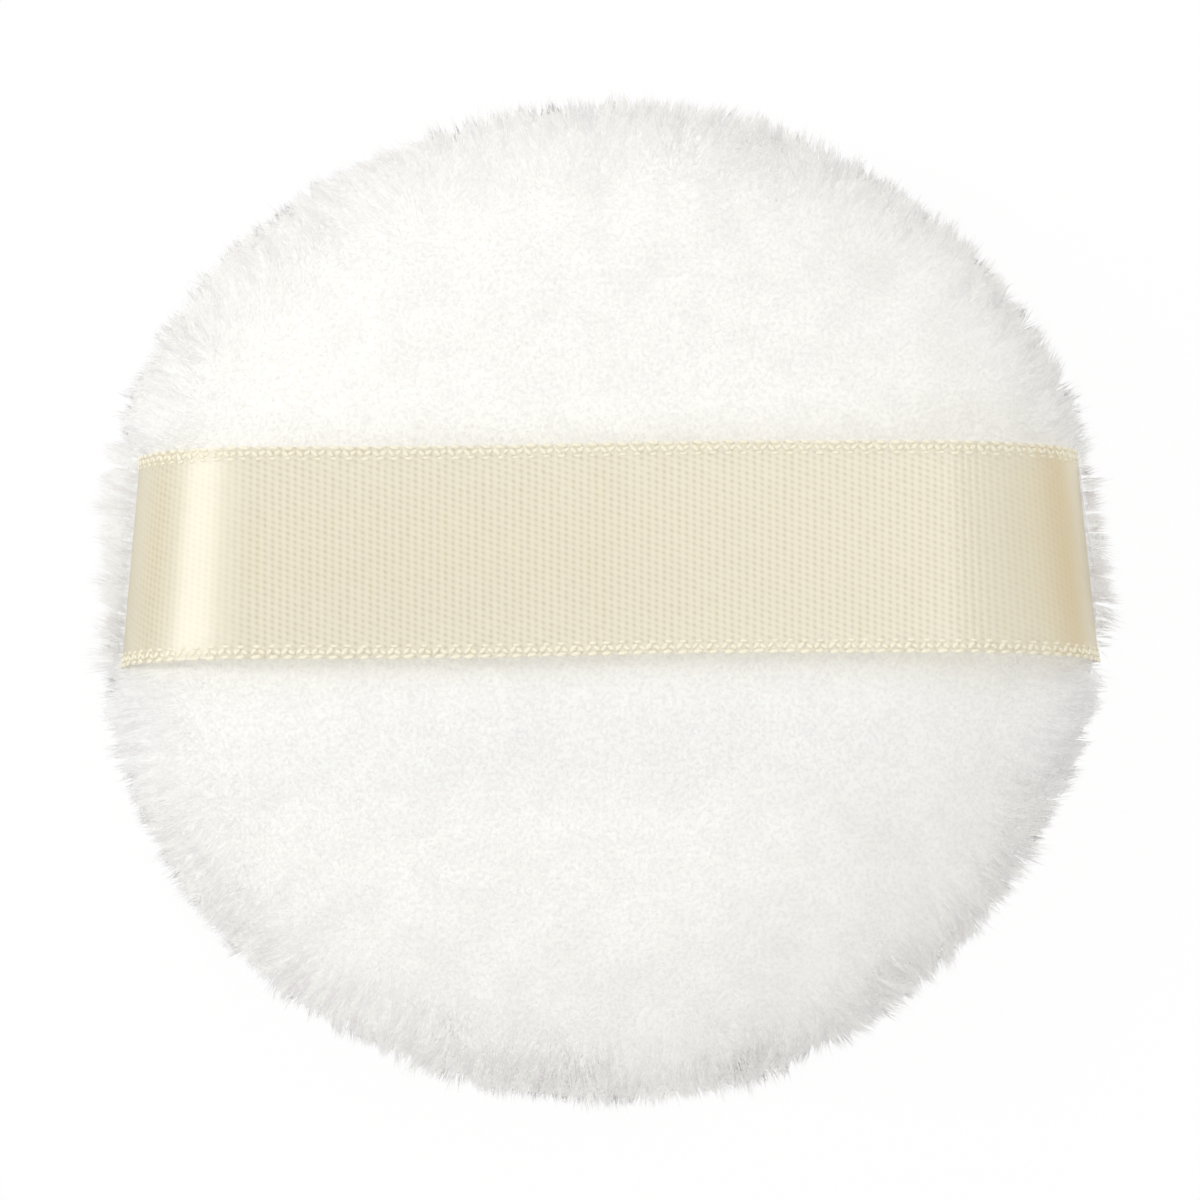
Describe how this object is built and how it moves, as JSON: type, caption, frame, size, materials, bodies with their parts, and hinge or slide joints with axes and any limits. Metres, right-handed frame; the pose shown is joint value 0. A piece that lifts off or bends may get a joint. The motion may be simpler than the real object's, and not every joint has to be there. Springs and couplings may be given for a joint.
{
  "type": "powder puff",
  "caption": "Round plush powder puff, sewn from two soft covers over a foam disc, with a satin ribbon band across the back that lifts to let the fingers in.",
  "frame": {"origin": "middle of the pad's outline, on the plane that the application face rests on", "axes": "+X runs along the ribbon, +Y is across it towards the side of the pad that the ribbon lies nearer to, +Z is out of the ribbon side"},
  "size_m": [0.0728, 0.0716, 0.0202],
  "materials": {
    "plush": "white long-pile velour, matte, combed outwards at the rim",
    "satin_ribbon": "ivory satin weave with looped selvedges, soft sheen",
    "foam": "open-cell polyurethane foam, matte",
    "sewing_thread": "spun polyester thread, white"
  },
  "bodies": {
    "pad": {"back_cover": "plush", "face_cover": "plush", "foam_core": "foam", "rim_seam_needle_thread": "sewing_thread", "rim_seam_bobbin_thread": "sewing_thread", "closing_stitch_thread": "sewing_thread", "ribbon_left_end": "satin_ribbon", "ribbon_right_end": "satin_ribbon"},
    "ribbon": {"ribbon_span": "satin_ribbon"}
  },
  "joints": [
    {"name": "ribbon_lift", "type": "slide", "parent": "pad", "child": "ribbon", "axis": [0, 0, 1], "range_m": [0, 0.006], "deforming": ["ribbon_left_end", "ribbon_right_end"]}
  ]
}
